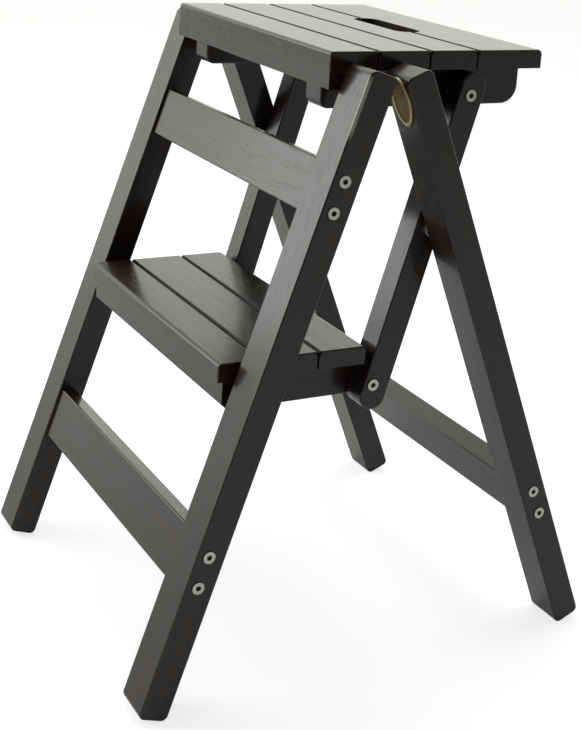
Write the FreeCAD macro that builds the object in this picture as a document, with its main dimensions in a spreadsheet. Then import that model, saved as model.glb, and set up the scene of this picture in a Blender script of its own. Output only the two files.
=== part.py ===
import FreeCAD, Part
import Sketcher
import os
import re

# Folding step stool chair in dark stained wood, in millimetres.
# X runs across the stool, Y from front to back, Z up. The origin is on the floor,
# midway between the sides and midway between the front and the rear feet.
doc = FreeCAD.newDocument("folding_step_stool_chair")
sheet = doc.addObject("Spreadsheet::Sheet", "Sizes")

# Driving dimensions: name, millimetres or degrees, and what it measures.
SIZES = [
    # Legs
    ("lean_front", 18.35, "front legs lean back from upright"),
    ("front_line", -207.65, "depth where the front legs' front faces meet the floor"),
    ("leg_width", 35.5, "leg, side to side"),
    ("leg_depth", 24.0, "leg, front to back"),
    ("front_leg_inner", 144.5, "centre plane to a front leg's inner face"),
    ("rear_leg_set_out", 1.8, "a rear leg's inner face outside a front leg's"),
    ("front_leg_over", 15.3, "front leg above the seat's pivot, along the leg"),
    ("rear_leg_below", 15.5, "rear leg's front top edge below the seat's top"),
    ("leg_top_round", 6.0, "rounding of the legs' top ends"),
    ("foot_round", 5.0, "rounding of the feet"),
    ("edge_ease", 1.3, "rounding of all long wood edges"),
    # Rails between the legs
    ("rail_recess", 2.4, "rails' front faces behind the legs' front faces"),
    ("front_rail_thick", 15.5, "front rails, front to back"),
    ("rear_rail_thick", 19.0, "rear rail, front to back"),
    ("upper_rail_down", 117.7, "front legs' tops to the upper rail's low edge, along the leg"),
    ("upper_rail_height", 42.5, "front upper rail, along the leg"),
    ("lower_rail_low", 103.8, "floor line to the front lower rail, along the leg"),
    ("lower_rail_height", 45.2, "front lower rail, along the leg"),
    ("rear_rail_low", 105.3, "floor line to the rear rail, along the leg"),
    ("rear_rail_height", 40.9, "rear rail, along the leg"),
    # Seat
    ("seat_height", 500.0, "floor to the seat's top"),
    ("seat_overhang", 17.8, "seat's front edge before its pivot"),
    ("seat_end_gap", 2.5, "seat slats' ends to the front legs"),
    ("slat_thick", 15.0, "seat and tread slats"),
    ("slat_gap", 1.0, "gap between two slats"),
    ("seat_slat_1_width", 40.7, "front slat of the seat"),
    ("seat_slat_2_width", 46.0, "second slat of the seat"),
    ("seat_slat_3_width", 43.0, "third slat of the seat"),
    ("seat_slat_4_width", 62.0, "rear slat of the seat"),
    ("slat_joint_round", 2.1, "rounding of the slats' top edges beside a gap"),
    ("slat_end_ease", 1.0, "rounding of the slats' ends"),
    ("seat_nose_round", 2.6, "rounding of the seat's front edge"),
    ("seat_rear_round", 4.0, "rounding of the seat's rear edge"),
    ("hand_hole_length", 87.5, "hand hole, side to side"),
    ("hand_hole_width", 24.0, "hand hole, front to back"),
    ("seat_apron_height", 14.0, "seat apron below the slats"),
    ("seat_apron_thick", 11.0, "seat apron, front to back"),
    ("bearer_width", 24.3, "bearers, side to side"),
    ("seat_bearer_height", 33.0, "seat bearers below the slats"),
    ("seat_bearer_setback", 6.9, "seat bearers' front ends behind the seat's front"),
    ("seat_bearer_short", 4.0, "seat bearers' rear ends before the seat's rear edge"),
    ("bearer_rear_round", 15.0, "lower rear corners of the seat bearers"),
    ("bearer_end_round", 7.5, "other lower corners of the bearers"),
    ("joint_clearance", 0.1, "gap all round a glued notch"),
    # Tread
    ("tread_height", 262.9, "floor to the tread's top"),
    ("tread_overhang", 24.5, "tread's front edge before its pivot"),
    ("tread_end_gap", 6.3, "tread slats' ends to the front legs"),
    ("tread_slat_1_width", 36.6, "front slat of the tread"),
    ("tread_slat_2_width", 48.1, "middle slat of the tread"),
    ("tread_rear_gap", 2.5, "tread's rear edge to the link bars"),
    ("tread_nose_round", 3.2, "rounding of the tread's front edge"),
    ("tread_rear_round", 4.0, "rounding of the tread's rear edge"),
    ("tread_apron_recess", 4.1, "tread apron's front behind the tread's front"),
    ("tread_apron_thick", 10.8, "tread apron, front to back"),
    ("tread_apron_height", 18.8, "tread apron below the slats"),
    ("tread_bearer_height", 32.4, "tread bearers below the slats"),
    ("tread_bearer_past", 9.9, "tread bearers' rear ends past the link's pivot"),
    # Link bars
    ("link_turn", 0.646, "link bars steeper than the line of the front legs' pivots"),
    ("link_width", 23.8, "link bar, side to side"),
    ("link_depth", 23.0, "link bar, front to back"),
    ("link_gap", 0.4, "bearer to link bar"),
    ("link_spacer_gap", 2.3, "link bar to the front leg's inner face"),
    ("link_pivot_in", 10.63, "link's seat pivot behind its front face"),
    ("link_top_over", 18.4, "link bar above its seat pivot"),
    ("link_bottom_over", 20.5, "link bar below its tread pivot"),
    ("link_end_flat", 1.0, "flat left between the rounded corners of a link's end"),
    # Pivots: the seat and the tread turn on equal cranks, so the links stay parallel
    ("seat_pivot_below", 9.1, "seat's pivot below its slats"),
    ("seat_pivot_in", 8.4, "seat's pivot behind the front legs' front faces"),
    ("tread_pivot_below", 5.3, "tread's pivot below its slats"),
    ("tread_pivot_in", 15.6, "tread's pivot behind the front legs' front faces"),
    ("crank_y", 110.5, "seat pivot back to the link's seat pivot"),
    ("crank_z", -11.9, "seat pivot up to the link's seat pivot"),
    ("rear_pivot_down", 109.2, "link's seat pivot to the rear leg's, along the link bar"),
    ("rear_pivot_in_link", 15.5, "rear leg's pivot behind the link's front face"),
    ("rear_pivot_in_leg", 7.5, "rear leg's pivot behind its own front face"),
    ("leg_to_leg", 12.0, "front leg's back to rear leg's front at the seat's pivot"),
    ("pivot_diameter", 6.0, "pivot bolts and pins"),
    ("running_clearance", 0.08, "radial gap of a pivot in its hole"),
    ("open_clearance", 0.3, "radial gap where the loop of pivots closes"),
    ("fixed_clearance", 0.05, "radial gap of a fixed bolt or pin in its hole"),
    ("pivot_reach", 23.0, "depth of a pivot bolt in its leg"),
    ("hole_tip", 2.0, "blind hole deeper than what it holds"),
    ("side_clearance", 0.3, "gap between faces that turn past each other"),
    ("spacer_diameter", 10.0, "spacers on the seat and tread pivots"),
    ("washer_diameter", 15.0, "washers on the rear leg pivots"),
    ("stop_pin_diameter", 6.4, "stop pins that the rear legs rest on"),
    ("stop_pin_below", 28.6, "stop pins' line on the rear leg below the seat's top"),
    ("stop_pin_bite", 3.2, "stop pin past the rear leg's inner face"),
    ("stop_pin_depth", 8.0, "stop pin in its bearer"),
    # Furniture bolts
    ("bolt_head_diameter", 9.6, "bolt head"),
    ("bolt_head_thick", 2.2, "bolt head"),
    ("head_sink", 1.4, "bolt head below the wood's face"),
    ("head_clearance", 0.7, "radial gap round a sunk bolt head"),
    ("hex_size", 4.6, "hex socket across its corners"),
    ("hex_depth", 1.5, "hex socket"),
    ("bolt_diameter", 6.0, "rail bolts"),
    ("rail_bolt_bite", 34.0, "rail bolt in its rail"),
    ("front_bolt_spacing", 24.6, "bolts of a front rail, along the leg"),
    ("rear_bolt_spacing", 22.6, "bolts of the rear rail, along the leg"),
    # Slat screws
    ("screw_diameter", 3.6, "slat screws"),
    ("screw_bite", 9.0, "slat screw in its slat"),
    ("screw_head_diameter", 7.2, "slat screw heads"),
    ("screw_head_thick", 2.4, "slat screw heads"),
    ("screw_past_seat_pivot", 13.2, "seat's front screws behind its pivot"),
    ("screw_past_tread_pivot", 7.0, "tread's front screws behind its pivot"),
    # Oval plate
    ("plate_width", 26.5, "oval plate, side to side"),
    ("plate_height", 41.5, "oval plate, along the leg"),
    ("plate_turn", 8.0, "oval plate leans outward from the leg's line"),
    ("plate_thick", 1.2, "oval plate"),
    ("plate_rim", 3.0, "oval plate's raised rim"),
    ("plate_recess", 0.5, "oval plate's field below its rim"),
    ("plate_down", 20.2, "rear leg's top to the plate's centre, along the leg"),
    ("plate_inset", 19.8, "rear leg's inner face to the plate's centre"),
]

# Sizes that follow from the driving ones, so that the pieces still meet when one changes.
FITTED = [
    ("rear_leg_inner", "front_leg_inner + rear_leg_set_out",
     "centre plane to a rear leg's inner face"),
    ("seat_half_length", "front_leg_inner - seat_end_gap",
     "centre plane to the seat slats' ends"),
    ("tread_half_length", "front_leg_inner - tread_end_gap",
     "centre plane to the tread slats' ends"),
    ("bearer_inner", "front_leg_inner - link_spacer_gap - link_width - link_gap - bearer_width",
     "centre plane to the bearers' inner faces"),
    ("seat_pivot_z", "seat_height - slat_thick - seat_pivot_below",
     "height of the seat's pivot on the front legs"),
    ("seat_pivot_y", "front_line + seat_pivot_z * tan(lean_front) + seat_pivot_in / cos(lean_front)",
     "depth of the seat's pivot on the front legs"),
    ("tread_pivot_z", "tread_height - slat_thick - tread_pivot_below",
     "height of the tread's pivot on the front legs"),
    ("tread_pivot_y", "front_line + tread_pivot_z * tan(lean_front) + tread_pivot_in / cos(lean_front)",
     "depth of the tread's pivot on the front legs"),
    ("seat_front", "seat_pivot_y - seat_overhang",
     "depth of the seat's front edge"),
    ("seat_rear", "seat_front + seat_slat_1_width + seat_slat_2_width + seat_slat_3_width"
     " + seat_slat_4_width + 3 * slat_gap",
     "depth of the seat's rear edge"),
    ("tread_front", "tread_pivot_y - tread_overhang",
     "depth of the tread's front edge"),
    ("lean_link", "atan((seat_pivot_y - tread_pivot_y) / (seat_pivot_z - tread_pivot_z)) / 1deg"
     " - link_turn",
     "link bars lean forward going down from upright"),
    ("link_line", "seat_pivot_y + crank_y - (seat_pivot_z + crank_z) * tan(lean_link)"
     " - link_pivot_in / cos(lean_link)",
     "depth where the link bars' front faces would meet the floor"),
    ("link_end_round", "(link_depth - link_end_flat) / 2",
     "rounding of the link bars' ends"),
    ("tread_slat_3_width", "link_line + (tread_height - slat_thick) * tan(lean_link) - tread_rear_gap"
     " - tread_front - tread_slat_1_width - tread_slat_2_width - 2 * slat_gap",
     "rear slat of the tread"),
    ("rear_pivot_along", "(seat_pivot_y + crank_y - link_line) * sin(lean_link)"
     " + (seat_pivot_z + crank_z) * cos(lean_link) - rear_pivot_down",
     "floor line to the rear leg's pivot, along the link bar"),
    ("rear_pivot_y", "link_line + rear_pivot_along * sin(lean_link) + rear_pivot_in_link * cos(lean_link)",
     "depth of the rear legs' pivot on the link bars"),
    ("rear_pivot_z", "rear_pivot_along * cos(lean_link) - rear_pivot_in_link * sin(lean_link)",
     "height of the rear legs' pivot on the link bars"),
    ("leg_top_run", "rear_pivot_y - front_line - seat_pivot_z * tan(lean_front)"
     " - leg_depth / cos(lean_front) - leg_to_leg",
     "rear legs' front at the seat pivot's height to their own pivot, in depth"),
    ("leg_top_rise", "seat_pivot_z - rear_pivot_z",
     "seat pivot above the rear legs' pivot"),
    ("lean_rear", "(atan(leg_top_run / leg_top_rise)"
     " - asin(rear_pivot_in_leg / sqrt(leg_top_run * leg_top_run + leg_top_rise * leg_top_rise))) / 1deg",
     "rear legs lean forward from upright"),
    ("rear_line", "rear_pivot_y + rear_pivot_z * tan(lean_rear) - rear_pivot_in_leg / cos(lean_rear)",
     "depth where the rear legs' front faces meet the floor"),
    ("front_leg_top", "(seat_pivot_y - front_line) * sin(lean_front) + seat_pivot_z * cos(lean_front)"
     " + front_leg_over",
     "floor line to a front leg's top, along the leg"),
    ("rear_leg_top", "(seat_height - rear_leg_below) / cos(lean_rear)",
     "floor line to a rear leg's top, along the leg"),
    ("upper_rail_low", "front_leg_top - upper_rail_down",
     "floor line to the front upper rail, along the leg"),
    ("stop_pin_along", "(seat_height - stop_pin_below) / cos(lean_rear)"
     " + (stop_pin_diameter / 2 + side_clearance) * tan(lean_rear)",
     "floor line to the stop pins, along the rear leg"),
    ("plate_along", "rear_leg_top - plate_down",
     "floor line to the plate's centre, along the leg"),
]
rows = [(alias, str(value), meaning) for alias, value, meaning in SIZES]
rows += [(alias, "=" + words, meaning) for alias, words, meaning in FITTED]
for row, (alias, content, meaning) in enumerate(rows, 1):
    sheet.set("A%d" % row, meaning)
    sheet.set("B%d" % row, content)
    sheet.setAlias("B%d" % row, alias)
doc.recompute()

FUNCTIONS = ("sin", "cos", "tan")
SIDES = {"left": -1, "right": 1}
TOLERANCE = 0.01
parts = []


def linked(words):
    """The expression with each named size read from the sheet."""
    def from_sheet(match):
        word = match.group(0)
        return word if word in FUNCTIONS else "Sizes." + word
    return re.sub(r"[a-z][a-z_0-9]*", from_sheet, words)


def bind(item, **sizes):
    """Ties properties of an object to the sheet; double underscores stand for dots."""
    for key, words in sizes.items():
        item.setExpression(key.replace("__", "."), linked(words))


def keep(item, name):
    item.Label = name
    parts.append(item)
    return item


# Frames of the leaning bars: depth y and height z of a point that lies u along the bar
# from the floor line and v behind its front face, and the way back.
def front_point(u, v):
    return (f"front_line + ({u}) * sin(lean_front) + ({v}) * cos(lean_front)",
            f"({u}) * cos(lean_front) - ({v}) * sin(lean_front)")


def rear_point(u, v):
    return (f"rear_line - ({u}) * sin(lean_rear) + ({v}) * cos(lean_rear)",
            f"({u}) * cos(lean_rear) + ({v}) * sin(lean_rear)")


def along_front(y, z):
    return (f"({y} - front_line) * cos(lean_front) - ({z}) * sin(lean_front)",
            f"({y} - front_line) * sin(lean_front) + ({z}) * cos(lean_front)")


def along_rear(y, z):
    return (f"({y} - rear_line) * cos(lean_rear) + ({z}) * sin(lean_rear)",
            f"({z}) * cos(lean_rear) - ({y} - rear_line) * sin(lean_rear)")


def along_link(y, z):
    return (f"({y} - link_line) * cos(lean_link) - ({z}) * sin(lean_link)",
            f"({y} - link_line) * sin(lean_link) + ({z}) * cos(lean_link)")


def origin_plane(body, role):
    return next(item for item in body.Origin.OriginFeatures if item.Role == role)


def sketch_on(body, name, role, offset):
    """An empty sketch on one of the body's own planes, moved by three expressions."""
    sketch = body.newObject("Sketcher::SketchObject", name)
    sketch.AttachmentSupport = (origin_plane(body, role), [""])
    sketch.MapMode = "FlatFace"
    bind(sketch, AttachmentOffset__Base__x=offset[0], AttachmentOffset__Base__y=offset[1],
         AttachmentOffset__Base__z=offset[2])
    return sketch


def draw_rectangle(sketch, across, up):
    """A rectangle from the sketch's origin."""
    corners = [FreeCAD.Vector(*point) for point in ((0, 0), (10, 0), (10, 10), (0, 10))]
    for here in range(4):
        sketch.addGeometry(Part.LineSegment(corners[here], corners[(here + 1) % 4]), False)
    for here in range(4):
        sketch.addConstraint(Sketcher.Constraint("Coincident", here, 2, (here + 1) % 4, 1))
    for here, way in enumerate(("Horizontal", "Vertical", "Horizontal", "Vertical")):
        sketch.addConstraint(Sketcher.Constraint(way, here))
    sketch.addConstraint(Sketcher.Constraint("Coincident", 0, 1, -1, 1))
    width = sketch.addConstraint(Sketcher.Constraint("DistanceX", 0, 1, 0, 2, 10.0))
    height = sketch.addConstraint(Sketcher.Constraint("DistanceY", 1, 1, 1, 2, 10.0))
    sketch.setExpression("Constraints[%d]" % width, linked(across))
    sketch.setExpression("Constraints[%d]" % height, linked(up))


def draw_circle(sketch, diameter):
    centre = FreeCAD.Vector(0, 0, 0)
    sketch.addGeometry(Part.Circle(centre, FreeCAD.Vector(0, 0, 1), 5.0), False)
    sketch.addConstraint(Sketcher.Constraint("Coincident", 0, 3, -1, 1))
    girth = sketch.addConstraint(Sketcher.Constraint("Diameter", 0, 10.0))
    sketch.setExpression("Constraints[%d]" % girth, linked(diameter))


def draw_slot(sketch, length, width):
    """A slot with round ends, centred on the sketch's origin, along its first axis."""
    reach, radius = 20.0, 10.0
    up = FreeCAD.Vector(0, 0, 1)
    left, right = FreeCAD.Vector(-reach, 0, 0), FreeCAD.Vector(reach, 0, 0)
    lift = FreeCAD.Vector(0, radius, 0)
    quarter = 1.5707963267948966
    sketch.addGeometry(Part.LineSegment(left - lift, right - lift), False)
    sketch.addGeometry(Part.ArcOfCircle(Part.Circle(right, up, radius), -quarter, quarter), False)
    sketch.addGeometry(Part.LineSegment(right + lift, left + lift), False)
    sketch.addGeometry(Part.ArcOfCircle(Part.Circle(left, up, radius), quarter, 3 * quarter), False)
    for here in range(4):
        sketch.addConstraint(Sketcher.Constraint("Tangent", here, 2, (here + 1) % 4, 1))
    sketch.addConstraint(Sketcher.Constraint("Horizontal", 0))
    sketch.addConstraint(Sketcher.Constraint("Symmetric", 1, 3, 3, 3, -1, 1))
    sketch.addConstraint(Sketcher.Constraint("Equal", 1, 3))
    bend = sketch.addConstraint(Sketcher.Constraint("Radius", 1, radius))
    run = sketch.addConstraint(Sketcher.Constraint("DistanceX", 3, 3, 1, 3, 2 * reach))
    sketch.setExpression("Constraints[%d]" % bend, linked(f"({width}) / 2"))
    sketch.setExpression("Constraints[%d]" % run, linked(f"{length} - ({width})"))


def bar(name, x, y, z, lean=None):
    """A straight bar: x, y and z each give a low side and a size. lean tilts it about X."""
    body = keep(doc.addObject("PartDesign::Body", name), name)
    sketch = sketch_on(body, name + "_section", "YZ_Plane", (y[0], z[0], x[0]))
    draw_rectangle(sketch, y[1], z[1])
    pad = body.newObject("PartDesign::Pad", name + "_length")
    pad.Profile = sketch
    bind(pad, Length=x[1])
    if lean:
        line, angle, way = lean
        body.Placement = FreeCAD.Placement(FreeCAD.Vector(),
                                           FreeCAD.Rotation(FreeCAD.Vector(way, 0, 0), 10))
        bind(body, Placement__Base__y=line, Placement__Rotation__Angle=angle)
    doc.recompute()
    return body


FRONT_LEAN = ("front_line", "lean_front", -1)
REAR_LEAN = ("rear_line", "lean_rear", 1)
LINK_LEAN = ("link_line", "lean_link", -1)


def edges_where(body, test):
    """Names of the edges of the body's last feature whose ends all pass the test."""
    shape = body.Tip.Shape
    box = shape.BoundBox
    names = []
    for number, edge in enumerate(shape.Edges, 1):
        points = [edge.valueAt(edge.FirstParameter), edge.valueAt(edge.LastParameter),
                  edge.valueAt((edge.FirstParameter + edge.LastParameter) / 2)]
        if all(test(point, box) for point in points):
            names.append("Edge%d" % number)
    return names


def near(one, other):
    return abs(one - other) < TOLERANCE


def corner(back, top):
    """The test for the edge across the bar at one corner of its section."""
    def test(point, box):
        deep = near(point.y, box.YMax if back else box.YMin)
        high = near(point.z, box.ZMax if top else box.ZMin)
        return deep and high
    return test


def on_sides(point, box):
    return near(point.x, box.XMin) or near(point.x, box.XMax)


def rounded(body, name, tests, radius):
    """Rounds every edge of the body's last feature that passes one of the tests."""
    names = sorted({edge for test in tests for edge in edges_where(body, test)})
    base = body.Tip
    fillet = body.newObject("PartDesign::Fillet", body.Name + "_" + name)
    fillet.Base = (base, names)
    bind(fillet, Radius=radius)
    body.Tip = fillet
    doc.recompute()
    return fillet


def pocket(body, name, sketch, depth=None, inward=1):
    """Cuts the sketch's outline out of the body, through it all or to a depth along X."""
    before = body.Shape.Volume
    cut = body.newObject("PartDesign::Pocket", body.Name + "_" + name)
    cut.Profile = sketch
    if depth:
        cut.Reversed = inward > 0
        bind(cut, Length=depth)
    else:
        cut.Type = 1
        cut.SideType = "Symmetric"
    body.Tip = cut
    doc.recompute()
    removed = before - body.Shape.Volume
    if removed < 1:
        raise RuntimeError("%s %s cut nothing" % (body.Name, name))
    return cut


def bore(body, name, y, z, diameter, start=None, depth=None, inward=1):
    """A round hole across the bar, through it or from the plane start inward to a depth."""
    sketch = sketch_on(body, body.Name + "_" + name + "_circle", "YZ_Plane",
                       (y, z, start or "0 * leg_width"))
    draw_circle(sketch, diameter)
    return pocket(body, name, sketch, depth, inward)


def cylinder_across(name, x, y, z, diameter):
    """A round bar across the stool: x gives its low end and its length."""
    rod = doc.addObject("Part::Cylinder", name)
    rod.Placement = FreeCAD.Placement(FreeCAD.Vector(), FreeCAD.Rotation(FreeCAD.Vector(0, 1, 0), 90))
    bind(rod, Radius=f"({diameter}) / 2", Height=x[1], Placement__Base__x=x[0],
         Placement__Base__y=y, Placement__Base__z=z)
    return rod


def cylinder_upright(name, x, y, z, diameter):
    """A round bar upright: z gives its low end and its length."""
    rod = doc.addObject("Part::Cylinder", name)
    bind(rod, Radius=f"({diameter}) / 2", Height=z[1], Placement__Base__x=x,
         Placement__Base__y=y, Placement__Base__z=z[0])
    return rod


def joined(kind, name, base, tool):
    result = doc.addObject("Part::" + kind, name)
    result.Base = base
    result.Tool = tool
    return result


def furniture_bolt(name, face, way, y, z, length, diameter):
    """A bolt with a hex socket. Its head sits on the plane face and its shank runs the way
    of -way; way is 1 where the head looks to the right and -1 to the left."""
    low = f"{face} - ({length})" if way > 0 else face
    shank = cylinder_across(name + "_shank", (low, length), y, z, diameter)
    head_low = face if way > 0 else f"{face} - bolt_head_thick"
    head = cylinder_across(name + "_head", (head_low, "bolt_head_thick"), y, z, "bolt_head_diameter")
    blank = joined("Fuse", name + "_blank", shank, head)
    socket = doc.addObject("Part::Prism", name + "_socket")
    socket.Polygon = 6
    socket.Placement = FreeCAD.Placement(FreeCAD.Vector(), FreeCAD.Rotation(FreeCAD.Vector(0, 1, 0), 90))
    socket_low = f"{face} + bolt_head_thick - hex_depth" if way > 0 else f"{face} - bolt_head_thick"
    bind(socket, Circumradius="hex_size / 2", Height="hex_depth", Placement__Base__x=socket_low,
         Placement__Base__y=y, Placement__Base__z=z)
    return joined("Cut", name + "_bolt", blank, socket)


def tube_across(name, x, y, z, outer, inner):
    body = cylinder_across(name + "_body", x, y, z, outer)
    hole = cylinder_across(name + "_hole", x, y, z, inner)
    return keep(joined("Cut", name, body, hole), name)


def group(name, members):
    together = doc.addObject("Part::Compound", name)
    together.Links = members
    return keep(together, name)


def mirrored(way, low, size):
    """A low side and a size across the stool, on the right or mirrored to the left."""
    return (low, size) if way > 0 else (f"-({low}) - ({size})", size)


FIXED = "pivot_diameter + 2 * fixed_clearance"
RUNNING = "pivot_diameter + 2 * running_clearance"
OPEN = "pivot_diameter + 2 * open_clearance"
HEAD_HOLE = "bolt_head_diameter + 2 * head_clearance"
SEAT_PIVOT = ("seat_pivot_y", "seat_pivot_z")
TREAD_PIVOT = ("tread_pivot_y", "tread_pivot_z")
LINK_SEAT_PIVOT = ("(seat_pivot_y + crank_y)", "(seat_pivot_z + crank_z)")
LINK_TREAD_PIVOT = ("(tread_pivot_y + crank_y)", "(tread_pivot_z + crank_z)")
REAR_PIVOT = ("rear_pivot_y", "rear_pivot_z")
BEARER_OUTER = "(bearer_inner + bearer_width)"
LINK_INNER = f"({BEARER_OUTER} + link_gap)"
LINK_OUTER = f"({LINK_INNER} + link_width)"
FRONT_LEG_OUTER = "(front_leg_inner + leg_width)"
REAR_LEG_OUTER = "(rear_leg_inner + leg_width)"
SEAT_UNDER = "(seat_height - slat_thick)"
TREAD_UNDER = "(tread_height - slat_thick)"

# Where the rounded foot just touches the floor, measured along each leg.
FRONT_FOOT = ("((foot_round + (leg_depth - foot_round) * sin(lean_front)) / cos(lean_front)"
              " - foot_round)")
REAR_FOOT = "((foot_round - foot_round * sin(lean_rear)) / cos(lean_rear) - foot_round)"

# Middles of the rails, as v and u in the legs' frames.
FRONT_RAIL_MIDDLE = "rail_recess + front_rail_thick / 2"
REAR_RAIL_MIDDLE = "rail_recess + rear_rail_thick / 2"


def rail_bolt_rows(low, height, spacing):
    middle = f"{low} + {height} / 2"
    return [f"{middle} + {spacing} / 2", f"{middle} - {spacing} / 2"]


UPPER_ROWS = rail_bolt_rows("upper_rail_low", "upper_rail_height", "front_bolt_spacing")
LOWER_ROWS = rail_bolt_rows("lower_rail_low", "lower_rail_height", "front_bolt_spacing")
REAR_ROWS = rail_bolt_rows("rear_rail_low", "rear_rail_height", "rear_bolt_spacing")


# Legs
def leg(name, way, inner, foot, top, lean):
    """One leg with rounded ends and eased edges."""
    body = bar(name, mirrored(way, inner, "leg_width"), ("0 * leg_depth", "leg_depth"),
               (foot, f"{top} - {foot}"), lean)
    rounded(body, "top", [corner(False, True), corner(True, True)], "leg_top_round")
    rounded(body, "foot", [corner(False, False), corner(True, False)], "foot_round")
    rounded(body, "ease", [on_sides], "edge_ease")
    return body


def bolt_holes(body, way, middle, rows, outer):
    """Through holes for rail bolts, with a sinking for each head on the outer face."""
    face = outer if way > 0 else f"-{outer}"
    for number, row in enumerate(rows, 1):
        bore(body, "bolt_hole_%d" % number, middle, row, "bolt_diameter + 2 * fixed_clearance")
        bore(body, "head_hole_%d" % number, middle, row, HEAD_HOLE, face, "head_sink", -way)


def blind_hole(body, name, point, way, inner):
    """A pivot's hole from the leg's inner face outward."""
    face = inner if way > 0 else f"-{inner}"
    bore(body, name, point[0], point[1], FIXED, face, "pivot_reach + hole_tip", way)


for side, way in SIDES.items():
    front_leg = leg("front_leg_" + side, way, "front_leg_inner", FRONT_FOOT, "front_leg_top", FRONT_LEAN)
    bolt_holes(front_leg, way, FRONT_RAIL_MIDDLE, UPPER_ROWS + LOWER_ROWS, FRONT_LEG_OUTER)
    blind_hole(front_leg, "seat_pivot_hole", along_front(*SEAT_PIVOT), way, "front_leg_inner")
    blind_hole(front_leg, "tread_pivot_hole", along_front(*TREAD_PIVOT), way, "front_leg_inner")

    rear_leg = leg("rear_leg_" + side, way, "rear_leg_inner", REAR_FOOT, "rear_leg_top", REAR_LEAN)
    bolt_holes(rear_leg, way, REAR_RAIL_MIDDLE, REAR_ROWS, REAR_LEG_OUTER)
    blind_hole(rear_leg, "link_pivot_hole", along_rear(*REAR_PIVOT), way, "rear_leg_inner")


# Rails between the legs
def rail(name, inner, thick, low, height, lean, middle, rows):
    body = bar(name, (f"-{inner}", f"2 * {inner}"), ("rail_recess", thick), (low, height), lean)
    corners = [corner(back, top) for back in (False, True) for top in (False, True)]
    rounded(body, "ease", corners, "edge_ease")
    for side, way in SIDES.items():
        end = inner if way > 0 else f"-{inner}"
        for number, row in enumerate(rows, 1):
            bore(body, "%s_hole_%d" % (side, number), middle, row,
                 "bolt_diameter + 2 * fixed_clearance", end, "rail_bolt_bite + hole_tip", -way)
    return body


rail("front_upper_rail", "front_leg_inner", "front_rail_thick", "upper_rail_low",
     "upper_rail_height", FRONT_LEAN, FRONT_RAIL_MIDDLE, UPPER_ROWS)
rail("front_lower_rail", "front_leg_inner", "front_rail_thick", "lower_rail_low",
     "lower_rail_height", FRONT_LEAN, FRONT_RAIL_MIDDLE, LOWER_ROWS)
rail("rear_rail", "rear_leg_inner", "rear_rail_thick", "rear_rail_low",
     "rear_rail_height", REAR_LEAN, REAR_RAIL_MIDDLE, REAR_ROWS)


def rail_bolts(name, outer, middle, rows, point):
    """The four bolts that hold one rail, two at each end."""
    bolts = []
    for side, way in SIDES.items():
        face = f"{outer} - head_sink" if way > 0 else f"head_sink - {outer}"
        for number, row in enumerate(rows, 1):
            y, z = point(row, middle)
            bolts.append(furniture_bolt("%s_%s_%d" % (name, side, number), face, way, y, z,
                                        "leg_width - head_sink + rail_bolt_bite", "bolt_diameter"))
    group(name, bolts)


rail_bolts("front_upper_rail_bolts", FRONT_LEG_OUTER, FRONT_RAIL_MIDDLE, UPPER_ROWS, front_point)
rail_bolts("front_lower_rail_bolts", FRONT_LEG_OUTER, FRONT_RAIL_MIDDLE, LOWER_ROWS, front_point)
rail_bolts("rear_rail_bolts", REAR_LEG_OUTER, REAR_RAIL_MIDDLE, REAR_ROWS, rear_point)


# Slats of the seat and of the tread
def slat_starts(front, widths):
    """The depth of each slat's front edge."""
    starts = [front]
    for width in widths[:-1]:
        starts.append(f"{starts[-1]} + {width} + slat_gap")
    return starts


def on_ends(point, box):
    """The test for the edges of a slat's two ends, save those along its underside."""
    return on_sides(point, box) and not near(point.z, box.ZMin)


def slat(name, half_length, start, width, under, front_round, rear_round, hole=None):
    """One slat with its own roundings in front and at the rear, and a share of the hand hole."""
    body = bar(name, (f"-{half_length}", f"2 * {half_length}"), (start, width), (under, "slat_thick"))
    rounded(body, "front_edge", [corner(False, True)], front_round)
    rounded(body, "rear_edge", [corner(True, True)], rear_round)
    rounded(body, "ends", [on_ends], "slat_end_ease")
    if hole:
        sketch = sketch_on(body, name + "_hole_outline", "XY_Plane", ("0 * slat_gap", hole, under))
        draw_slot(sketch, "hand_hole_length", "hand_hole_width")
        pocket(body, "hand_hole", sketch)

        def rim(point, box):
            level = near(point.z, box.ZMax) or near(point.z, box.ZMin)
            return level and abs(point.x) < box.XMax / 2

        rounded(body, "rim", [rim], "edge_ease")
    return body


SEAT_WIDTHS = ["seat_slat_%d_width" % number for number in (1, 2, 3, 4)]
TREAD_WIDTHS = ["tread_slat_%d_width" % number for number in (1, 2, 3)]
SEAT_STARTS = slat_starts("seat_front", SEAT_WIDTHS)
TREAD_STARTS = slat_starts("tread_front", TREAD_WIDTHS)
HOLE_MIDDLE = f"{SEAT_STARTS[3]} - slat_gap / 2"


def screw_depths(starts, widths, first):
    """Each slat's screw: the front one stands behind the pivot, the others are central."""
    return [first] + [f"{here} + {width} / 2" for here, width in zip(starts[1:], widths[1:])]


SEAT_SCREWS = screw_depths(SEAT_STARTS, SEAT_WIDTHS, "seat_pivot_y + screw_past_seat_pivot")
TREAD_SCREWS = screw_depths(TREAD_STARTS, TREAD_WIDTHS, "tread_pivot_y + screw_past_tread_pivot")
BEARER_MIDDLE = "(bearer_inner + bearer_width / 2)"
SCREW_HOLE = "screw_diameter + 2 * fixed_clearance"


def upright_bore(body, name, x, y, low, diameter, depth):
    """A round hole upward from the plane low."""
    sketch = sketch_on(body, body.Name + "_" + name + "_circle", "XY_Plane", (x, y, low))
    draw_circle(sketch, diameter)
    pocket(body, name, sketch, depth, 1)


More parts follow.
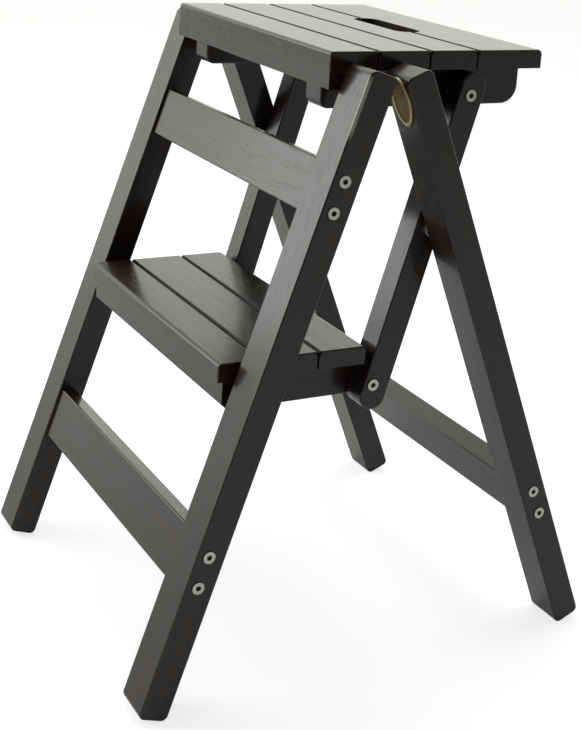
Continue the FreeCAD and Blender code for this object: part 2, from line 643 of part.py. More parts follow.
def slats(name, half_length, starts, widths, under, screws, nose, rear, hole=None):
    last = len(widths)
    for number, (start, width, screw) in enumerate(zip(starts, widths, screws), 1):
        holed = hole if number in (3, 4) else None
        body = slat("%s_%d" % (name, number), half_length, start, width, under,
                    nose if number == 1 else "slat_joint_round",
                    rear if number == last else "slat_joint_round", holed)
        for side, way in SIDES.items():
            across = BEARER_MIDDLE if way > 0 else f"-{BEARER_MIDDLE}"
            upright_bore(body, "screw_" + side, across, screw, under, SCREW_HOLE,
                         "screw_bite + hole_tip")


slats("seat_slat", "seat_half_length", SEAT_STARTS, SEAT_WIDTHS, SEAT_UNDER, SEAT_SCREWS,
      "seat_nose_round", "seat_rear_round", HOLE_MIDDLE)
slats("tread_slat", "tread_half_length", TREAD_STARTS, TREAD_WIDTHS, TREAD_UNDER, TREAD_SCREWS,
      "tread_nose_round", "tread_rear_round")

TREAD_APRON_FRONT = "(tread_front + tread_apron_recess)"


# Aprons under the front slats
def apron(name, half_length, front, thick, under, height):
    body = bar(name, (f"-{half_length}", f"2 * {half_length}"), (front, thick),
               (f"{under} - {height}", height))
    rounded(body, "ease", [corner(False, False), corner(True, False)], "edge_ease")
    return body


apron("seat_apron", "seat_half_length", "seat_front", "seat_apron_thick", SEAT_UNDER,
      "seat_apron_height")
apron("tread_apron", "tread_half_length", TREAD_APRON_FRONT, "tread_apron_thick", TREAD_UNDER,
      "tread_apron_height")


# Bearers under the slats
def bearer(name, way, start, length, under, height, rear_round, screws):
    body = bar(name, mirrored(way, "bearer_inner", "bearer_width"), (start, length),
               (f"{under} - {height}", height))
    rounded(body, "rear_corner", [corner(True, False)], rear_round)
    rounded(body, "front_corner", [corner(False, False)], "bearer_end_round")

    def below_top(point, box):
        return on_sides(point, box) and point.z < box.ZMax - TOLERANCE

    rounded(body, "ease", [below_top], "edge_ease")
    across = BEARER_MIDDLE if way > 0 else f"-{BEARER_MIDDLE}"
    low = f"{under} - {height}"
    for number, screw in enumerate(screws, 1):
        upright_bore(body, "screw_%d" % number, across, screw, low, SCREW_HOLE, height)
        upright_bore(body, "screw_head_%d" % number, across, screw, low,
                     "screw_head_diameter + 2 * fixed_clearance", "screw_head_thick")
    return body


STOP_RISE = "stop_pin_diameter / 2 + side_clearance"
STOP_POINT = rear_point("stop_pin_along", f"-({STOP_RISE})")
STOP_HOLE = "stop_pin_diameter + 2 * fixed_clearance"
SEAT_BEARER_FRONT = "(seat_front + seat_bearer_setback)"
SEAT_BEARER_LENGTH = f"(seat_rear - seat_bearer_short - {SEAT_BEARER_FRONT})"
NOTCH_DEPTH = f"(seat_front + seat_apron_thick + joint_clearance - {SEAT_BEARER_FRONT})"
NOTCH_HEIGHT = "(seat_apron_height + joint_clearance)"
TREAD_BEARER_FRONT = f"({TREAD_APRON_FRONT} + tread_apron_thick)"
TREAD_BEARER_LENGTH = f"(tread_pivot_y + crank_y + tread_bearer_past - {TREAD_BEARER_FRONT})"

for side, way in SIDES.items():
    outer = BEARER_OUTER if way > 0 else f"-{BEARER_OUTER}"

    seat_bearer = bearer("seat_bearer_" + side, way, SEAT_BEARER_FRONT, SEAT_BEARER_LENGTH,
                         SEAT_UNDER, "seat_bearer_height", "bearer_rear_round", SEAT_SCREWS)
    notch = sketch_on(seat_bearer, "seat_bearer_%s_notch_outline" % side, "YZ_Plane",
                      (SEAT_BEARER_FRONT, f"{SEAT_UNDER} - {NOTCH_HEIGHT}", "0 * leg_width"))
    draw_rectangle(notch, NOTCH_DEPTH, NOTCH_HEIGHT)
    pocket(seat_bearer, "notch", notch)
    bore(seat_bearer, "seat_pivot_hole", *SEAT_PIVOT, RUNNING)
    bore(seat_bearer, "link_pivot_hole", *LINK_SEAT_PIVOT, FIXED)
    bore(seat_bearer, "stop_hole", *STOP_POINT, STOP_HOLE, outer, "stop_pin_depth", -way)

    tread_bearer = bearer("tread_bearer_" + side, way, TREAD_BEARER_FRONT, TREAD_BEARER_LENGTH,
                          TREAD_UNDER, "tread_bearer_height", "bearer_end_round", TREAD_SCREWS)
    bore(tread_bearer, "tread_pivot_hole", *TREAD_PIVOT, RUNNING)
    bore(tread_bearer, "link_pivot_hole", *LINK_TREAD_PIVOT, FIXED)


def slat_screws(name, under, height, screws):
    """Screws up through the bearers into the slats."""
    made = []
    low = f"{under} - {height}"
    for side, way in SIDES.items():
        across = BEARER_MIDDLE if way > 0 else f"-{BEARER_MIDDLE}"
        for number, screw in enumerate(screws, 1):
            own = "%s_%s_%d" % (name, side, number)
            shank = cylinder_upright(own + "_shank", across, screw,
                                     (low, f"{height} + screw_bite"), "screw_diameter")
            head = cylinder_upright(own + "_head", across, screw,
                                    (low, "screw_head_thick"), "screw_head_diameter")
            made.append(joined("Fuse", own, shank, head))
    group(name, made)


slat_screws("seat_slat_screws", SEAT_UNDER, "seat_bearer_height", SEAT_SCREWS)
slat_screws("tread_slat_screws", TREAD_UNDER, "tread_bearer_height", TREAD_SCREWS)

# Link bars from the seat's bearers down to the tread's bearers
for side, way in SIDES.items():
    seat_end = along_link(*LINK_SEAT_PIVOT)
    tread_end = along_link(*LINK_TREAD_PIVOT)
    middle = along_link(*REAR_PIVOT)
    low = f"{tread_end[1]} - link_bottom_over"
    link = bar("link_bar_" + side, mirrored(way, LINK_INNER, "link_width"),
               ("0 * link_depth", "link_depth"),
               (low, f"{seat_end[1]} + link_top_over - ({low})"), LINK_LEAN)
    corners = [corner(back, top) for back in (False, True) for top in (False, True)]
    rounded(link, "ends", corners, "link_end_round")
    rounded(link, "ease", [on_sides], "edge_ease")
    outer = LINK_OUTER if way > 0 else f"-{LINK_OUTER}"
    bore(link, "seat_pivot_hole", *seat_end, RUNNING)
    bore(link, "seat_head_hole", *seat_end, HEAD_HOLE, outer, "head_sink", -way)
    bore(link, "tread_pivot_hole", *tread_end, OPEN)
    bore(link, "tread_head_hole", *tread_end, HEAD_HOLE, outer, "head_sink", -way)
    bore(link, "rear_pivot_hole", *middle, RUNNING if way > 0 else OPEN)

# Pivots, spacers and stops
for side, way in SIDES.items():
    pivot_face = "bearer_inner - side_clearance" if way > 0 else "side_clearance - bearer_inner"
    link_face = (f"{LINK_OUTER} - head_sink + side_clearance" if way > 0
                 else f"head_sink - side_clearance - {LINK_OUTER}")

    for name, point in (("seat_pivot_bolt_", SEAT_PIVOT), ("tread_pivot_bolt_", TREAD_PIVOT)):
        length = "front_leg_inner - bearer_inner + side_clearance + pivot_reach"
        keep(furniture_bolt(name + side, pivot_face, -way, *point, length, "pivot_diameter"), name + side)
    for name, point in (("seat_pivot_spacer_", SEAT_PIVOT), ("tread_pivot_spacer_", TREAD_PIVOT)):
        length = f"front_leg_inner - side_clearance - {BEARER_OUTER}"
        tube_across(name + side, mirrored(way, BEARER_OUTER, length), *point, "spacer_diameter", RUNNING)
    for name, point in (("link_seat_bolt_", LINK_SEAT_PIVOT), ("link_tread_bolt_", LINK_TREAD_PIVOT)):
        length = f"{LINK_OUTER} - head_sink + side_clearance - bearer_inner"
        keep(furniture_bolt(name + side, link_face, way, *point, length, "pivot_diameter"), name + side)

    pin = mirrored(way, LINK_INNER, f"rear_leg_inner + pivot_reach - {LINK_INNER}")
    name = "rear_leg_pin_" + side
    keep(cylinder_across(name, pin, *REAR_PIVOT, "pivot_diameter"), name)
    washer = mirrored(way, f"{LINK_OUTER} + side_clearance",
                      f"rear_leg_inner - {LINK_OUTER} - side_clearance")
    tube_across("rear_leg_washer_" + side, washer, *REAR_PIVOT, "washer_diameter", FIXED)
    stop = mirrored(way, f"{BEARER_OUTER} - stop_pin_depth",
                    f"rear_leg_inner + stop_pin_bite - {BEARER_OUTER} + stop_pin_depth")
    name = "stop_pin_" + side
    keep(cylinder_across(name, stop, *STOP_POINT, "stop_pin_diameter"), name)


# Oval plate on the front of the right rear leg
def oval(name, trim, low, thick):
    """An elliptical disc on the rear leg's front face, its long way along the leg."""
    outline = doc.addObject("Part::Ellipse", name + "_outline")
    bind(outline, MajorRadius=f"plate_height / 2 - {trim}", MinorRadius=f"plate_width / 2 - {trim}")
    disc = doc.addObject("Part::Extrusion", name)
    disc.Base = outline
    disc.DirMode = "Custom"
    disc.Dir = FreeCAD.Vector(0, 0, 1)
    disc.Solid = True
    bind(disc, LengthFwd=thick)
    outline.Placement = FreeCAD.Placement(FreeCAD.Vector(), FreeCAD.Rotation())
    bind(outline, Placement__Base__z=low)
    return disc


plate_body = oval("oval_plate_body", "0 * plate_rim", "0 * plate_rim", "plate_thick")
plate_field = oval("oval_plate_field", "plate_rim", "plate_thick - plate_recess", "plate_recess")
plate = joined("Cut", "oval_plate", plate_body, plate_field)
# Turned so that its long way nearly follows the leg and its face looks forward.
lean_back = FreeCAD.Rotation(FreeCAD.Vector(1, 0, 0), sheet.lean_rear)
stand_up = FreeCAD.Rotation(FreeCAD.Vector(1, 0, 0), 90)
long_way_up = FreeCAD.Rotation(FreeCAD.Vector(0, 0, 1), 90 - sheet.plate_turn)
plate.Placement = FreeCAD.Placement(FreeCAD.Vector(), lean_back.multiply(stand_up).multiply(long_way_up))
plate_y, plate_z = rear_point("plate_along", "0 * plate_thick")
bind(plate, Placement__Base__x="rear_leg_inner + plate_inset", Placement__Base__y=plate_y,
     Placement__Base__z=plate_z)
keep(plate, "oval_plate")

# Check and write every part
doc.recompute()
for item in doc.Objects:
    if "Invalid" in item.State or "Error" in item.State:
        raise RuntimeError("%s is %s" % (item.Label, item.State))
os.makedirs("parts", exist_ok=True)
for part in parts:
    shape = part.Shape
    if shape.isNull() or not shape.isValid() or not shape.Solids:
        raise RuntimeError(part.Label + " has no valid solid")
    shape.exportStep("parts/%s.step" % part.Label)
print(len(parts), "parts")
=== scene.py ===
import math

import bpy
from mathutils import Euler, Matrix, Vector

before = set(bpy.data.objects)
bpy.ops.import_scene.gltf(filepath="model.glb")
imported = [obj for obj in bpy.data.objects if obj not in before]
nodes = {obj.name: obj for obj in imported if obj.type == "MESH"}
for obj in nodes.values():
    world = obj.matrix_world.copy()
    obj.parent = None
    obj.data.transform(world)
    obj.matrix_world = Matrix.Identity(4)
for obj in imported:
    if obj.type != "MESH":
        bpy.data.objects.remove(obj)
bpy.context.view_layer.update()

# Studio: a white room, bright behind the stool and on its left, and a pale floor under it.
# One broad lamp at the front left lights the fronts of seat and step, and a weak one hangs above.
bpy.context.scene.view_settings.view_transform = "Standard"


def put(tree, kind, values=None, **settings):
    """Adds one node to a material or a world, with its settings and the values of its inputs."""
    node = tree.nodes.new("ShaderNode" + kind)
    for key, setting in settings.items():
        setattr(node, key, setting)
    for key, value in (values or {}).items():
        node.inputs[key].default_value = value
    return node


def shaded(node, low_stop, low_color, high_stop, high_color):
    """Sets both stops of a color ramp."""
    for stop, place, color in zip(node.color_ramp.elements, (low_stop, high_stop),
                                  (low_color, high_color)):
        stop.position = place
        stop.color = (*color, 1)
    return node


room = bpy.data.worlds.new("white_room")
room.use_nodes = True
bpy.context.scene.world = room
sky = room.node_tree
sky.nodes.clear()
sky_out = put(sky, "OutputWorld")
seen_white = put(sky, "Background", {"Color": (1, 1, 1, 1), "Strength": 1.0})
soft_fill = put(sky, "Background", {"Strength": 0.42})
mirrored_room = put(sky, "Background", {"Strength": 1.1})
outlook = put(sky, "TexCoord")
toward_walls = put(sky, "VectorMath", {1: (-0.90, 0.25, 0.36)}, operation="DOT_PRODUCT")
half_up = put(sky, "Math", {1: 0.5, 2: 0.5}, operation="MULTIPLY_ADD")
wall_ramp = shaded(put(sky, "ValToRGB"), 0.36, (0.05, 0.047, 0.042), 0.74, (1, 1, 0.94))
ray_kind = put(sky, "LightPath")
fill_or_mirror = put(sky, "MixShader")
camera_or_rest = put(sky, "MixShader")
sky.links.new(outlook.outputs["Generated"], toward_walls.inputs[0])
sky.links.new(toward_walls.outputs["Value"], half_up.inputs[0])
sky.links.new(half_up.outputs[0], wall_ramp.inputs["Fac"])
sky.links.new(wall_ramp.outputs["Color"], soft_fill.inputs["Color"])
sky.links.new(wall_ramp.outputs["Color"], mirrored_room.inputs["Color"])
sky.links.new(ray_kind.outputs["Is Glossy Ray"], fill_or_mirror.inputs["Fac"])
sky.links.new(soft_fill.outputs[0], fill_or_mirror.inputs[1])
sky.links.new(mirrored_room.outputs[0], fill_or_mirror.inputs[2])
sky.links.new(ray_kind.outputs["Is Camera Ray"], camera_or_rest.inputs["Fac"])
sky.links.new(fill_or_mirror.outputs[0], camera_or_rest.inputs[1])
sky.links.new(seen_white.outputs[0], camera_or_rest.inputs[2])
sky.links.new(camera_or_rest.outputs[0], sky_out.inputs["Surface"])

floor_width = 9
glow_for_camera = 0.74
glow_share_for_mirrors = 0.25
bpy.ops.object.select_all(action="DESELECT")
bpy.ops.mesh.primitive_plane_add(size=floor_width, location=(0, 0, 0))
floor = bpy.context.object
floor.name = "pale_floor"
floor_paint = bpy.data.materials.new("pale_floor")
floor_paint.use_nodes = True
paint = floor_paint.node_tree
paint.nodes.clear()
paint_out = put(paint, "OutputMaterial")
paint_matt = put(paint, "BsdfDiffuse", {"Color": (0.80, 0.80, 0.78, 1)})
paint_glow = put(paint, "Emission", {"Color": (1, 1, 1, 1)})
paint_ray = put(paint, "LightPath")
paint_seen = put(paint, "Math", {1: glow_share_for_mirrors}, operation="MULTIPLY_ADD")
glow_strength = put(paint, "Math", {1: glow_for_camera}, operation="MULTIPLY")
paint_sum = put(paint, "AddShader")
paint.links.new(paint_ray.outputs["Is Glossy Ray"], paint_seen.inputs[0])
paint.links.new(paint_ray.outputs["Is Camera Ray"], paint_seen.inputs[2])
paint.links.new(paint_seen.outputs[0], glow_strength.inputs[0])
paint.links.new(glow_strength.outputs[0], paint_glow.inputs["Strength"])
paint.links.new(paint_matt.outputs[0], paint_sum.inputs[0])
paint.links.new(paint_glow.outputs[0], paint_sum.inputs[1])
paint.links.new(paint_sum.outputs[0], paint_out.inputs["Surface"])
floor.data.materials.append(floor_paint)

for lamp_name, spot, aim, size, watts in (
        ("front_left_lamp", (-1.9, -2.2, 1.3), (0, -0.1, 0.25), 2.2, 30),
        ("overhead_lamp", (-0.5, 0.5, 2.6), (0, 0, 0.3), 1.6, 12)):
    glow = bpy.data.lights.new(lamp_name, "AREA")
    glow.size = size
    glow.energy = watts
    lamp = bpy.data.objects.new(lamp_name, glow)
    lamp.location = spot
    lamp.rotation_euler = (Vector(aim) - Vector(spot)).to_track_quat("-Z", "Y").to_euler()
    bpy.context.scene.collection.objects.link(lamp)

# The camera stands at the photograph's place, on the stool's right, a little above the seat.
camera_look = Vector((-0.83754, 0.49775, -0.22540)).normalized()
camera_right = camera_look.cross(Vector((0, 0, 1))).normalized()
camera_up = camera_right.cross(camera_look)
tilt = math.radians(4.1836)
turned_right = camera_right * math.cos(tilt) + camera_up * math.sin(tilt)
turned_up = camera_up * math.cos(tilt) - camera_right * math.sin(tilt)
camera_data = bpy.data.cameras.new("camera")
camera = bpy.data.objects.new("camera", camera_data)
bpy.context.scene.collection.objects.link(camera)
bpy.context.scene.camera = camera
camera.location = (1.06555, -0.57542, 0.64854)
camera.rotation_euler = Matrix((turned_right, turned_up, -camera_look)).transposed().to_euler()
camera_data.sensor_width = 36
camera_data.lens = 71.10
camera_data.shift_x = -0.0940
camera_data.shift_y = -0.2522
camera_data.clip_start = 0.05

# Front legs: two long square bars that lean back, of close grained wood stained dark espresso
# and lacquered satin. The grain runs along each bar, the stain sits darker in the pores, and
# the edges are rubbed a little, the legs' most of all.
front_lean = 18.35
leg_wear = 0.4
other_wear = 0.3
lacquer_gloss = 0.90


def grain_group():
    """The stained wood's look from a place along the grain (Z) and the distance to an edge."""
    group = bpy.data.node_groups.new("espresso_grain", "ShaderNodeTree")
    group.interface.new_socket("Place", in_out="INPUT", socket_type="NodeSocketVector")
    group.interface.new_socket("Half Size", in_out="INPUT", socket_type="NodeSocketVector")
    group.interface.new_socket("Wear", in_out="INPUT", socket_type="NodeSocketFloat")
    group.interface.new_socket("Color", in_out="OUTPUT", socket_type="NodeSocketColor")
    group.interface.new_socket("Roughness", in_out="OUTPUT", socket_type="NodeSocketFloat")
    group.interface.new_socket("Normal", in_out="OUTPUT", socket_type="NodeSocketVector")
    make, link = group.nodes.new, group.links.new
    given, result = make("NodeGroupInput"), make("NodeGroupOutput")

    def stretched(scale):
        node = make("ShaderNodeMapping")
        node.inputs["Scale"].default_value = scale
        link(given.outputs["Place"], node.inputs["Vector"])
        return node.outputs[0]

    def noise(vector, scale, detail=3.0, roughness=0.5):
        node = make("ShaderNodeTexNoise")
        node.inputs["Scale"].default_value = scale
        node.inputs["Detail"].default_value = detail
        node.inputs["Roughness"].default_value = roughness
        link(vector, node.inputs["Vector"])
        return node.outputs["Fac"]

    def remap(value, low, high, to_low=0.0, to_high=1.0):
        node = make("ShaderNodeMapRange")
        node.interpolation_type = "SMOOTHSTEP"
        link(value, node.inputs["Value"])
        limits = {"From Min": low, "From Max": high, "To Min": to_low, "To Max": to_high}
        for key, number in limits.items():
            node.inputs[key].default_value = number
        return node.outputs[0]

    def arithmetic(kind, first, second):
        node = make("ShaderNodeMath")
        node.operation = kind
        for socket, value in zip(node.inputs, (first, second)):
            if isinstance(value, (int, float)):
                socket.default_value = value
            else:
                link(value, socket)
        return node.outputs[0]

    def mixed(factor, first, second):
        node = make("ShaderNodeMix")
        node.data_type = "RGBA"
        link(factor, node.inputs["Factor"])
        for socket, value in ((node.inputs[6], first), (node.inputs[7], second)):
            if isinstance(value, tuple):
                socket.default_value = (*value, 1)
            else:
                link(value, socket)
        return node.outputs[2]

    streaks = noise(stretched((1, 1, 0.035)), 190, 5, 0.6)
    bands = noise(stretched((1, 1, 0.02)), 48, 3, 0.55)
    pores = noise(stretched((1, 1, 0.045)), 1100, 2, 0.5)
    blotches = noise(stretched((1, 1, 0.35)), 16, 3, 0.6)

    dark = (0.0120, 0.0072, 0.0054)
    warm = (0.036, 0.0185, 0.0110)
    band_brown = (0.0190, 0.0118, 0.0085)
    blotch_brown = (0.0265, 0.0162, 0.0115)
    pore_black = (0.0045, 0.0035, 0.0030)
    stain = mixed(remap(streaks, 0.36, 0.72), dark, warm)
    stain = mixed(remap(bands, 0.35, 0.70, 0.0, 0.55), stain, band_brown)
    stain = mixed(remap(blotches, 0.45, 0.75, 0.0, 0.45), stain, blotch_brown)
    pits = remap(pores, 0.60, 0.72)
    stain = mixed(arithmetic("MULTIPLY", pits, 0.65), stain, pore_black)

    # Distance to the nearest long edge of the bar, from how deep the place lies in each way.
    absolute = make("ShaderNodeVectorMath")
    absolute.operation = "ABSOLUTE"
    link(given.outputs["Place"], absolute.inputs[0])
    inward = make("ShaderNodeVectorMath")
    inward.operation = "SUBTRACT"
    link(given.outputs["Half Size"], inward.inputs[0])
    link(absolute.outputs[0], inward.inputs[1])
    apart = make("ShaderNodeSeparateXYZ")
    link(inward.outputs[0], apart.inputs[0])
    pairs = [arithmetic("MAXIMUM", apart.outputs[first], apart.outputs[second])
             for first, second in ((0, 1), (1, 2), (0, 2))]
    edge_distance = arithmetic("MINIMUM", arithmetic("MINIMUM", pairs[0], pairs[1]), pairs[2])
    frayed = noise(stretched((1, 1, 0.25)), 320, 4, 0.65)
    frayed_distance = arithmetic("ADD", edge_distance, arithmetic("MULTIPLY", frayed, -0.0032))
    rubbed = arithmetic("MULTIPLY", remap(frayed_distance, 0.0004, -0.0012), given.outputs["Wear"])
    worn_brown = (0.060, 0.047, 0.036)
    color = mixed(rubbed, stain, worn_brown)

    sheen = remap(streaks, 0.3, 0.7, 0.40, 0.50)
    roughness = arithmetic("ADD", sheen, arithmetic("MULTIPLY", pits, 0.18))

    ridges = arithmetic("MULTIPLY", streaks, 0.55)
    height = arithmetic("SUBTRACT", ridges, arithmetic("MULTIPLY", pits, 0.5))
    waves = noise(stretched((1, 1, 0.10)), 60, 2, 0.5)
    height = arithmetic("ADD", height, arithmetic("MULTIPLY", waves, 0.8))
    relief = make("ShaderNodeBump")
    relief.inputs["Strength"].default_value = 0.20
    relief.inputs["Distance"].default_value = 0.0004
    link(height, relief.inputs["Height"])

    link(color, result.inputs["Color"])
    link(roughness, result.inputs["Roughness"])
    link(relief.outputs["Normal"], result.inputs["Normal"])
    return group


espresso_grain = grain_group()


def box_of(node_name, turn):
    """The box round one bar when turn brings its grain upright, as its low and high corners."""
    upright = turn.to_matrix()
    places = [upright @ vertex.co for vertex in nodes[node_name].data.vertices]
    return (Vector([min(place[way] for place in places) for way in range(3)]),
            Vector([max(place[way] for place in places) for way in range(3)]))


def stain_wood(node_name, grain_turn, wear=other_wear):
    """Gives one bar its own stained wood. grain_turn, in degrees, brings its grain upright."""
    turn = Euler([math.radians(angle) for angle in grain_turn], "XYZ")
    low, high = box_of(node_name, turn)
    wood = bpy.data.materials.new("stained_" + node_name)
    wood.use_nodes = True
    tree = wood.node_tree
    lacquer = tree.nodes["Principled BSDF"]
    lacquer.inputs["Specular IOR Level"].default_value = 0.20
    lacquer.inputs["Coat Weight"].default_value = lacquer_gloss
    lacquer.inputs["Coat Roughness"].default_value = 0.17
    spot = put(tree, "TexCoord")
    centred = put(tree, "Mapping", {"Rotation": turn, "Location": -(low + high) / 2},
                  name="place_in_bar")
    grain = put(tree, "Group", node_tree=espresso_grain)
    grain.inputs["Half Size"].default_value = (high - low) / 2
    grain.inputs["Wear"].default_value = wear
    tree.links.new(spot.outputs["Object"], centred.inputs["Vector"])
    tree.links.new(centred.outputs[0], grain.inputs["Place"])
    tree.links.new(grain.outputs["Color"], lacquer.inputs["Base Color"])
    tree.links.new(grain.outputs["Roughness"], lacquer.inputs["Roughness"])
    tree.links.new(grain.outputs["Normal"], lacquer.inputs["Normal"])
    tree.links.new(grain.outputs["Normal"], lacquer.inputs["Coat Normal"])
    nodes[node_name].data.materials.clear()
    nodes[node_name].data.materials.append(wood)
    return tree, (high - low) / 2


def within(tree, value, outside, inside, soft=False):
    """A mask that grows from 0 at the place outside to 1 at the place inside."""
    mask = put(tree, "MapRange", {"From Min": outside, "From Max": inside})
    if soft:
        mask.interpolation_type = "SMOOTHSTEP"
    tree.links.new(value, mask.inputs["Value"])
    return mask.outputs[0]


def both(tree, first, second):
    """The product of two masks."""
    product = put(tree, "Math", operation="MULTIPLY")
    tree.links.new(first, product.inputs[0])
    tree.links.new(second, product.inputs[1])
    return product.outputs[0]


def paint_over(tree, mask, color):
    """Lays a color over the wood's own where the mask is 1."""
    lacquer = tree.nodes["Principled BSDF"]
    layer = put(tree, "Mix", data_type="RGBA")
    layer.inputs[7].default_value = (*color, 1)
    tree.links.new(mask, layer.inputs["Factor"])
    tree.links.new(lacquer.inputs["Base Color"].links[0].from_socket, layer.inputs[6])
    tree.links.new(layer.outputs[2], lacquer.inputs["Base Color"])


stain_wood("front_leg_left", (front_lean, 0, 0), leg_wear)
leg_tree, leg_half = stain_wood("front_leg_right", (front_lean, 0, 0), leg_wear)

# Painted highlight: just under the right front leg's top, a pale line is painted along the leg's
# outer front edge where its rounding catches the light.
painted_edge_highlight = (0.62, 0.60, 0.55)
highlight_top = leg_half.z - 0.010
highlight_end = leg_half.z - 0.046
leg_place = put(leg_tree, "SeparateXYZ")
leg_tree.links.new(leg_tree.nodes["place_in_bar"].outputs[0], leg_place.inputs[0])
painted_highlight_streak = within(leg_tree, leg_place.outputs["X"], leg_half.x - 0.0026, leg_half.x - 0.0012)
for way, outside, inside in (("Y", 0.0030 - leg_half.y, 0.0018 - leg_half.y),
                             ("Z", highlight_top + 0.006, highlight_top),
                             ("Z", highlight_end - 0.010, highlight_end)):
    painted_highlight_streak = both(leg_tree, painted_highlight_streak, within(leg_tree, leg_place.outputs[way], outside, inside))
paint_over(leg_tree, painted_highlight_streak, painted_edge_highlight)

# Front rails: two flat boards of the same wood between the front legs, one under the seat and
# one near the floor. Their grain runs across the stool.
for name in ("front_upper_rail", "front_lower_rail"):
    stain_wood(name, (front_lean, -90, 0))

# Rear legs and rear rail: two bars as thick as the front legs, leaning the other way, with one
# flat board between them near the floor.
rear_lean = 22.32
for name in ("rear_leg_left", "rear_leg_right"):
    stain_wood(name, (-rear_lean, 0, 0))
stain_wood("rear_rail", (-rear_lean, -90, 0))

# Link bars: two narrow bars with round ends that hang from the seat's bearers and carry the
# rear end of the step. The rear legs are pinned to them.
link_lean = 16.01
for name in ("link_bar_left", "link_bar_right"):
    stain_wood(name, (link_lean, 0, 0))

# Slats: four boards make the seat and three the step, all with their grain across the stool.
# The narrow joints between them are painted near black at their top edges as painted shade, and
# their lacquer is dulled there.
painted_joint_shade = (0.0016, 0.0013, 0.0011)


def paint_joint_shade(tree, half, way):
    """Paints shade near black on a slat's top edge at the front (way -1) or at the rear (way 1),
    and dulls it.
    """
    place = tree.nodes["place_in_bar"].outputs[0]
    reach = put(tree, "VectorMath", {1: (0, way, 0)}, operation="DOT_PRODUCT")
    height = put(tree, "VectorMath", {1: (-1, 0, 0)}, operation="DOT_PRODUCT")
    tree.links.new(place, reach.inputs[0])
    tree.links.new(place, height.inputs[0])
    edge = within(tree, reach.outputs["Value"], half.y - 0.0026, half.y - 0.0012, soft=True)
    top = within(tree, height.outputs["Value"], half.x - 0.0042, half.x - 0.0030)
    joint = both(tree, edge, top)
    paint_over(tree, joint, painted_joint_shade)
    gloss = tree.nodes["Principled BSDF"].inputs["Coat Weight"]
    dulled = put(tree, "Math", {1: -lacquer_gloss, 2: lacquer_gloss}, operation="MULTIPLY_ADD")
    tree.links.new(joint, dulled.inputs[0])
    if gloss.is_linked:
        tree.links.new(gloss.links[0].from_socket, dulled.inputs[2])
    tree.links.new(dulled.outputs[0], gloss)


for row, last in (("seat_slat", 4), ("tread_slat", 3)):
    for number in range(1, last + 1):
        slat_tree, slat_half = stain_wood("%s_%d" % (row, number), (0, -90, 0))
        if number > 1:
            paint_joint_shade(slat_tree, slat_half, -1)
        if number < last:
            paint_joint_shade(slat_tree, slat_half, 1)

# Aprons and bearers: an apron stands under the front slat of the seat and of the step, and two
# bearers run from front to back under each, with the slats screwed to them from below.
for name in ("seat_apron", "tread_apron"):
    stain_wood(name, (0, -90, 0))
for side in ("left", "right"):
    for name in ("seat_bearer_", "tread_bearer_"):
        stain_wood(name + side, (90, 0, 0))


# Bolts: zinc plated steel furniture bolts that hold the rails and the link bars. Each has a
# ring head with a hex socket, which is painted dark inside as painted shade.
def zinc_plate(node_name, socket_face=None):
    """Gives a node bright, faintly clouded zinc. Deeper in than socket_face it is painted dark as
    painted shade.
    """
    zinc = bpy.data.materials.new("zinc_" + node_name)
    zinc.use_nodes = True
    tree = zinc.node_tree
    shader = tree.nodes["Principled BSDF"]
    shader.inputs["Metallic"].default_value = 0.6
    spot = put(tree, "TexCoord")
    cloud = put(tree, "TexNoise", {"Scale": 420, "Detail": 4})
    tint = shaded(put(tree, "ValToRGB"), 0.35, (0.74, 0.75, 0.73), 0.65, (0.93, 0.94, 0.92))
    rough = put(tree, "MapRange", {"To Min": 0.26, "To Max": 0.46})
    relief = put(tree, "Bump", {"Strength": 0.12, "Distance": 0.0002})
    tree.links.new(spot.outputs["Object"], cloud.inputs["Vector"])
    for socket in (tint.inputs["Fac"], rough.inputs["Value"], relief.inputs["Height"]):
        tree.links.new(cloud.outputs["Fac"], socket)
    tree.links.new(tint.outputs["Color"], shader.inputs["Base Color"])
    tree.links.new(rough.outputs[0], shader.inputs["Roughness"])
    tree.links.new(relief.outputs["Normal"], shader.inputs["Normal"])
    if socket_face is not None:
        place = put(tree, "SeparateXYZ")
        outward = put(tree, "Math", operation="ABSOLUTE")
        # Painted shade: deeper in than socket_face the head is coloured near black.
        layer = put(tree, "Mix", data_type="RGBA")
        layer.inputs[6].default_value = (0.035, 0.033, 0.030, 1)
        tree.links.new(spot.outputs["Object"], place.inputs[0])
        tree.links.new(place.outputs["X"], outward.inputs[0])
        outside_socket_shade = within(tree, outward.outputs[0], socket_face - 0.0012, socket_face - 0.0006)
        tree.links.new(outside_socket_shade, layer.inputs["Factor"])
        tree.links.new(tint.outputs["Color"], layer.inputs[7])
        tree.links.new(layer.outputs[2], shader.inputs["Base Color"])
    nodes[node_name].data.materials.clear()
    nodes[node_name].data.materials.append(zinc)


for name, node in nodes.items():
    if "bolt" in name and "pivot" not in name:
        zinc_plate(name, max(abs(vertex.co.x) for vertex in node.data.vertices))

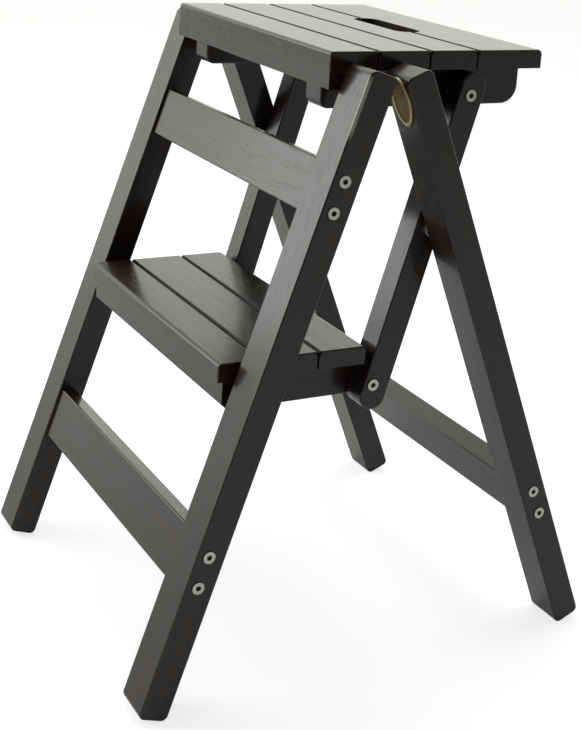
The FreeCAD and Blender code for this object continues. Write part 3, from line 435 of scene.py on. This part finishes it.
# Pivots and screws: the seat's and the step's pivot bolts with their spacers, the rear legs'
# pins and washers, the stop pins and the slat screws, all plain zinc plated steel.
for name in nodes:
    if "pivot_bolt" in name or any(word in name for word in ("screws", "pin_", "spacer", "washer")):
        zinc_plate(name)

# Plate: a plain oval of stamped brass on the front of the right rear leg. The rim is bright,
# and the sunk field inside it is an older, olive gold.
plate_turn = Euler((math.radians(-rear_lean), 0, 0))
rim_front = box_of("oval_plate", plate_turn)[0].y
brass = bpy.data.materials.new("brass_plate")
brass.use_nodes = True
stamped = brass.node_tree
brass_shader = stamped.nodes["Principled BSDF"]
brass_shader.inputs["Metallic"].default_value = 0.85
brass_spot = put(stamped, "TexCoord")
brass_upright = put(stamped, "Mapping", {"Rotation": plate_turn})
brass_depth = put(stamped, "SeparateXYZ")
brass_cloud = put(stamped, "TexNoise", {"Scale": 260, "Detail": 5})
olive_gold = shaded(put(stamped, "ValToRGB"), 0.35, (0.24, 0.17, 0.050), 0.70, (0.40, 0.29, 0.095))
brass_color = put(stamped, "Mix", data_type="RGBA")
brass_color.inputs[6].default_value = (0.78, 0.66, 0.36, 1)
brass_rough = put(stamped, "MapRange", {"To Min": 0.24, "To Max": 0.42})
stamped.links.new(brass_spot.outputs["Object"], brass_upright.inputs["Vector"])
stamped.links.new(brass_upright.outputs[0], brass_depth.inputs[0])
stamped.links.new(brass_spot.outputs["Object"], brass_cloud.inputs["Vector"])
stamped.links.new(brass_cloud.outputs["Fac"], olive_gold.inputs["Fac"])
sunk = within(stamped, brass_depth.outputs["Y"], rim_front + 0.0001, rim_front + 0.0004)
stamped.links.new(sunk, brass_color.inputs["Factor"])
stamped.links.new(olive_gold.outputs["Color"], brass_color.inputs[7])
stamped.links.new(sunk, brass_rough.inputs["Value"])
stamped.links.new(brass_color.outputs[2], brass_shader.inputs["Base Color"])
stamped.links.new(brass_rough.outputs[0], brass_shader.inputs["Roughness"])
nodes["oval_plate"].data.materials.clear()
nodes["oval_plate"].data.materials.append(brass)
